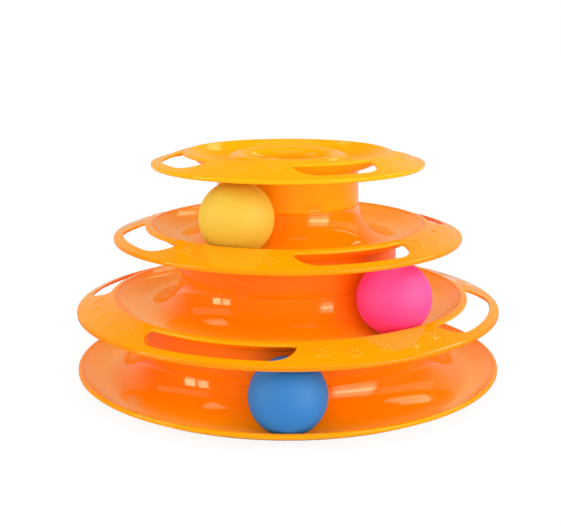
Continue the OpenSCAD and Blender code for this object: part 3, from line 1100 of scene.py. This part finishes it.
# World, in spans of a direction's X, Y and Z with the strengths over them. It is white to the camera.
# Its light is even, and stronger low at the front, where it is weakest at the middle and strongest at
# the right. Reflections show a pale wall behind the object that fades upwards, and a dim room elsewhere
LIGHT_EVEN = 1.12
LIGHT_LOW = ((0.15, 0.65), (1.0, 0.0))
LIGHT_FRONT = ((-0.5, 0.7), (1.0, 0.0))
LIGHT_RIGHT = ((0.1, 0.9), (1.1, 3.0))
LIGHT_ASIDE = ((0.0, 0.7), (0.5, 1.05))
ROOM_COLOUR = (1.0, 0.82, 0.55, 1)
ROOM_STRENGTH = 0.025
WALL_BEHIND = ((0.35, 0.9), (0.0, 1.0))
WALL_HEIGHT = ((0.3, 0.72), (0.6, 0.0))

world = bpy.data.worlds.new("studio")
scene.world = world
tree = NodeTree(world, "OutputWorld")
rays = tree.add("LightPath").outputs
along = tree.add("SeparateXYZ", {0: tree.add("TexCoord").outputs["Generated"]}).outputs
wall = tree.maths("MULTIPLY_ADD", tree.ramp(along["Y"], WALL_BEHIND), tree.ramp(along["Z"], WALL_HEIGHT),
                  ROOM_STRENGTH)
aside = tree.ramp(tree.maths("ABSOLUTE", along["X"]), LIGHT_ASIDE)
front = tree.maths("MULTIPLY", tree.ramp(along["Y"], LIGHT_FRONT), tree.ramp(along["X"], LIGHT_RIGHT))
fill = tree.maths("MULTIPLY_ADD", tree.maths("MULTIPLY", front, aside), tree.ramp(along["Z"], LIGHT_LOW),
                  LIGHT_EVEN)
plain = tree.add("Background", {"Color": WHITE, "Strength": fill}).outputs[0]
room = tree.add("Background", {"Color": ROOM_COLOUR, "Strength": wall}).outputs[0]
bright = tree.add("Background", {"Color": WHITE, "Strength": 1.0}).outputs[0]
lit = tree.mix_shaders(rays["Is Glossy Ray"], plain, room)
tree.show(tree.mix_shaders(rays["Is Camera Ray"], lit, bright))

# Cards that only reflections show: the middle of their sphere and its radius in metres, their steps and
# colour, and the part of their height that has the brighter middle
CARD_CENTRE = Vector((0.0, 0.0, 0.06))
CARD_REACH = 2.0
CARD_STEPS = 4
CARD_COLOUR = (1.0, 0.94, 0.56, 1)
CARD_CORE = 0.4


def card_point(azimuth, elevation):
    """Place on the cards' sphere at a bearing from the front and a height, both in degrees."""
    a, e = math.radians(azimuth), math.radians(elevation)
    return CARD_CENTRE + CARD_REACH * Vector((math.sin(a) * math.cos(e), -math.cos(a) * math.cos(e),
                                              math.sin(e)))


def card(name, azimuths, elevations, strength, edge, core=0.0):
    """Bright card with soft edges and a middle that is brighter by core."""
    count = CARD_STEPS + 1
    points = [card_point(a, e) for e in np.linspace(*elevations, count)
              for a in np.linspace(*azimuths, count)]
    faces = [(k, k + 1, k + 1 + count, k + count) for i in range(CARD_STEPS)
             for k in range(i * count, i * count + CARD_STEPS)]
    mesh = bpy.data.meshes.new(name)
    mesh.from_pydata(points, [], faces)
    across = mesh.attributes.new("across", "FLOAT_VECTOR", "POINT")
    spots = [(x, y, 0.0) for y in np.linspace(-1, 1, count) for x in np.linspace(-1, 1, count)]
    across.data.foreach_set("vector", [v for spot in spots for v in spot])
    look = bpy.data.materials.new(name)
    tree = NodeTree(look, "OutputMaterial")
    spot = tree.add("Attribute", attribute_name="across").outputs["Vector"]
    parts = tree.add("SeparateXYZ", {0: spot}).outputs
    wide, high = (tree.maths("ABSOLUTE", parts[axis]) for axis in "XY")
    fades = [tree.ramp(size, ((1.0 - edge, 1.0), (1.0, 0.0))) for size in (wide, high)]
    middle = tree.ramp(high, ((0.0, CARD_CORE), (strength + core, strength)), "SMOOTHERSTEP")
    power = tree.maths("MULTIPLY", tree.maths("MULTIPLY", *fades), middle)
    tree.show(tree.add("Emission", {"Color": CARD_COLOUR, "Strength": power}).outputs[0])
    mesh.materials.append(look)
    made = link(name, mesh)
    made.visible_camera = False
    made.visible_diffuse = False
    made.visible_shadow = False


# Windows and soft boxes that the photo's reflections show
card("window_left_near", azimuths=(-80.8, -71.0), elevations=(0.5, 14.5), strength=9.4, edge=0.06)
card("window_left_far", azimuths=(-68.6, -59.5), elevations=(0.5, 14.5), strength=7.6, edge=0.06)
card("wall_left", azimuths=(-115, -61), elevations=(22, 37), strength=0.8, edge=0.06)
card("ceiling_left", azimuths=(-115, -62), elevations=(44, 58), strength=2.2, edge=0.1, core=1.2)
card("soft_box_right", azimuths=(30, 70), elevations=(0.5, 32), strength=3.6, edge=0.35, core=6.5)
card("wall_right", azimuths=(70, 132), elevations=(17, 29), strength=0.8, edge=0.08)
card("ceiling_right", azimuths=(80, 150), elevations=(33, 46), strength=2.8, edge=0.12)

# Square light above the object that faces its middle: places and size in metres, power in watts
PANEL_PLACE = Vector((0.0, -0.1, 1.1))
PANEL_TARGET = Vector((0, 0, 0.06))
PANEL_SIZE = 0.7
PANEL_POWER = 0.8

panel_data = bpy.data.lights.new("top_panel", "AREA")
panel_data.shape = "RECTANGLE"
panel_data.size = PANEL_SIZE
panel_data.size_y = PANEL_SIZE
panel_data.energy = PANEL_POWER
panel = link("top_panel", panel_data)
panel.location = PANEL_PLACE
panel.rotation_euler = (PANEL_TARGET - PANEL_PLACE).to_track_quat("-Z", "Y").to_euler()

# Camera that was fitted to the photo
CAMERA_PLACE = (0.0, -0.58214, 0.20248)
CAMERA_DIP = 13.14
SENSOR_WIDTH = 36.0
LENS = 64.352
SHIFT_X = -0.01324
SHIFT_Y = -0.00035

camera_data = bpy.data.cameras.new("camera")
camera_data.sensor_fit = "HORIZONTAL"
camera_data.sensor_width = SENSOR_WIDTH
camera_data.lens = LENS
camera_data.shift_x = SHIFT_X
camera_data.shift_y = SHIFT_Y
camera = link("camera", camera_data)
camera.location = CAMERA_PLACE
camera.rotation_euler = (math.radians(90 - CAMERA_DIP), 0.0, 0.0)
scene.camera = camera
scene.view_settings.view_transform = "Standard"
